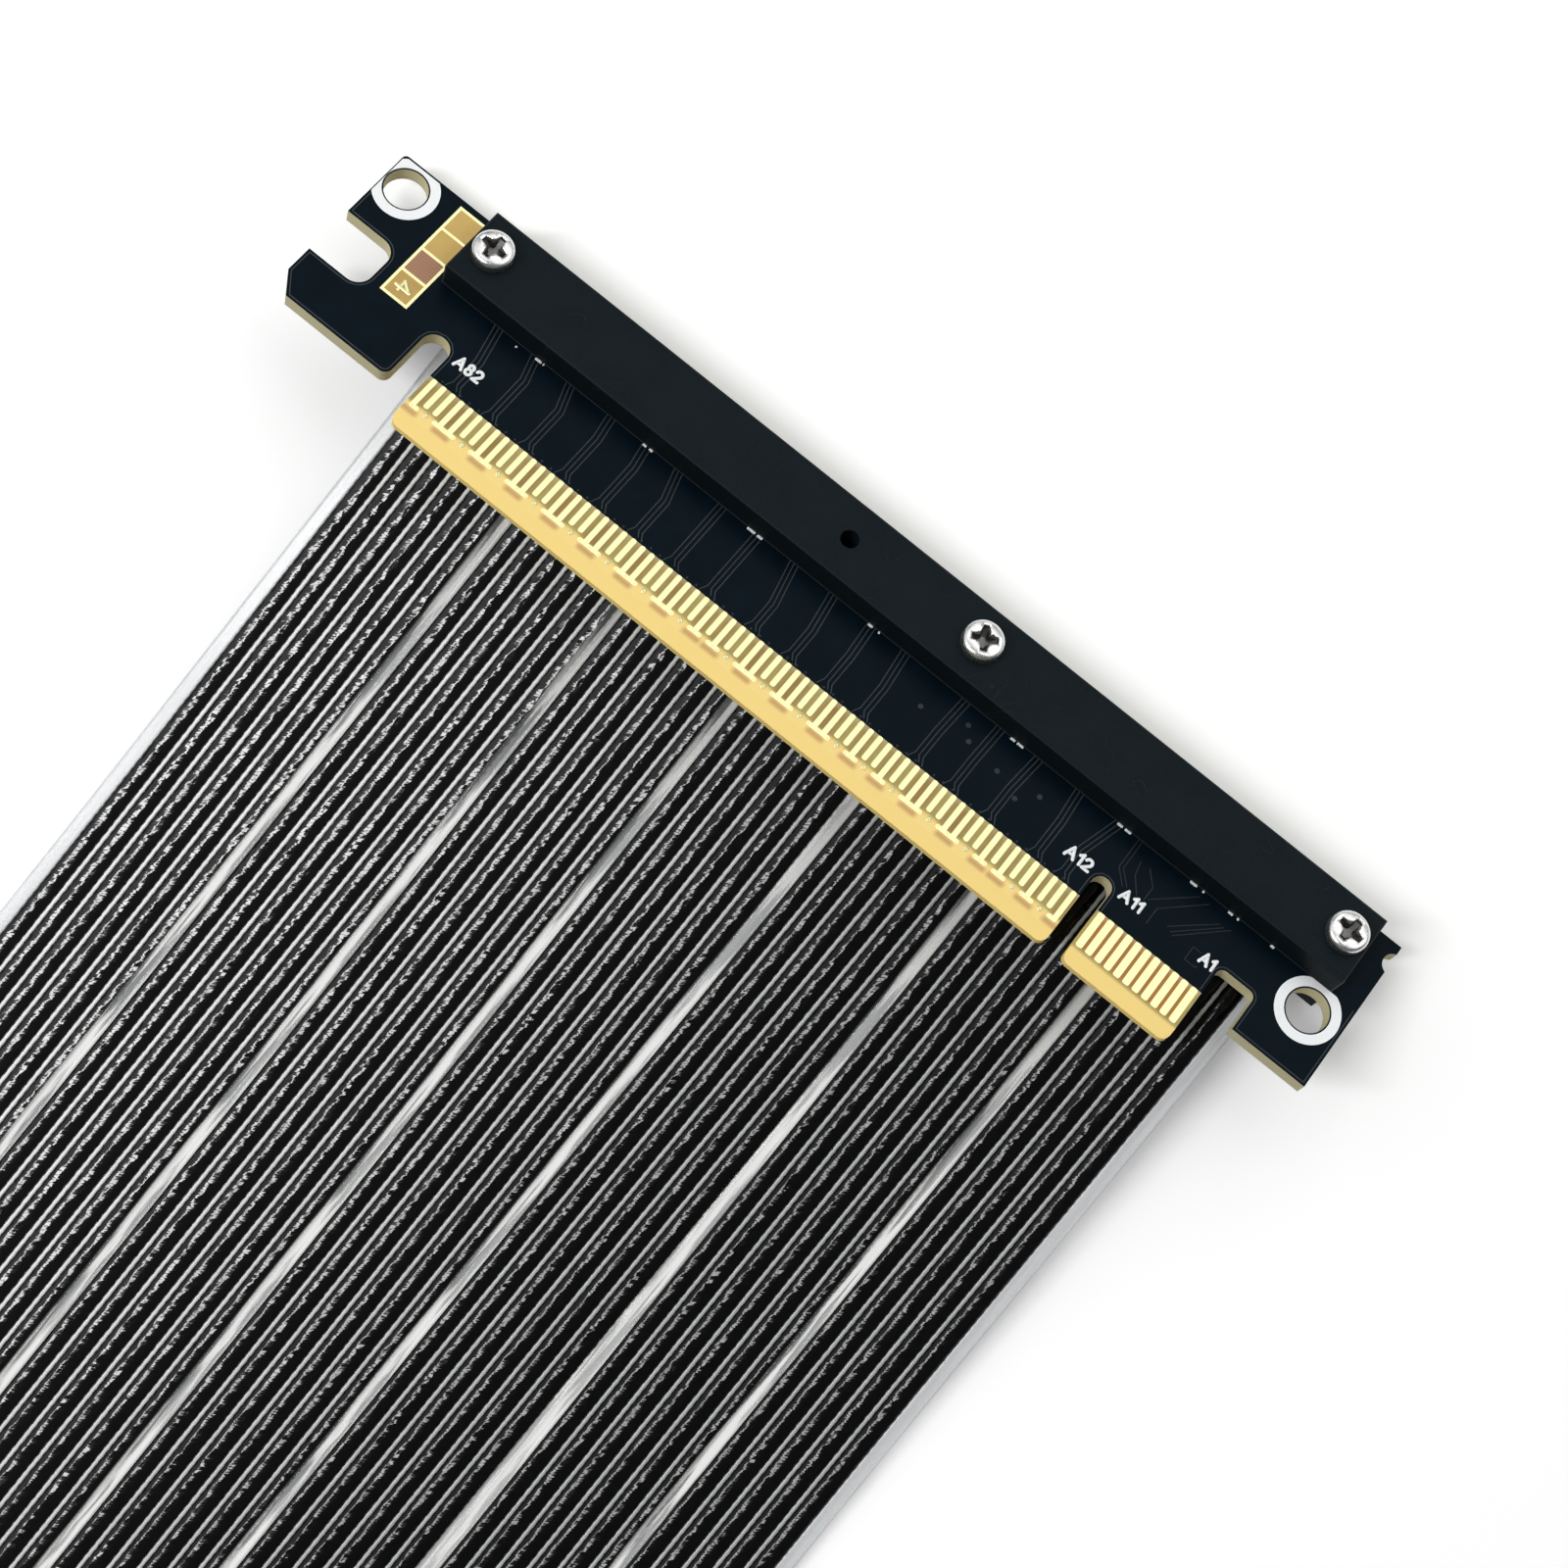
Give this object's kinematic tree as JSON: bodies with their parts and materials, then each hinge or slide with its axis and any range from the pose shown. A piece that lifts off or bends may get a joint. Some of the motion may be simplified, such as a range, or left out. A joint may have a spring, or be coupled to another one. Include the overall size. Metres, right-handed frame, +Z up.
{
  "type": "pcie extension cable",
  "caption": "Flat extension cable with black shielded ribbons clamped between a gold-fingered card-edge plug board and a slot socket board.",
  "frame": {"origin": "middle of the rigid pieces' bounding box, at the surface that the cable lies on", "axes": "+X along the connectors towards pin 1, +Y from the socket end to the plug end, +Z up"},
  "size_m": [0.1112, 0.2214, 0.0159],
  "materials": {
    "board": "dark solder mask on glass-epoxy board",
    "gold": "gold plating",
    "bar": "matte black anodised",
    "screw": "bright plated steel",
    "solder": "bright solder",
    "ribbon": "embossed black shield tape in clear film",
    "housing": "black glass-filled plastic"
  },
  "bodies": {
    "root": {"plug_board": "board", "plug_contacts_a_side": "gold", "plug_contacts_b_side": "gold", "plug_layer_window_frame": "gold", "plug_top_bar": "bar", "plug_bottom_bar": "bar", "plug_bar_screws": "screw", "plug_solder_joints": "solder", "ribbon_1": "ribbon", "ribbon_2": "ribbon", "ribbon_3": "ribbon", "ribbon_4": "ribbon", "ribbon_5": "ribbon", "ribbon_6": "ribbon", "ribbon_7": "ribbon", "socket_board": "board", "socket_housing": "housing", "socket_contacts_a_side": "gold", "socket_contacts_b_side": "gold", "socket_top_bar": "bar", "socket_bottom_bar": "bar", "socket_bar_screws": "screw", "socket_solder_joints": "solder"}
  },
  "joints": []
}
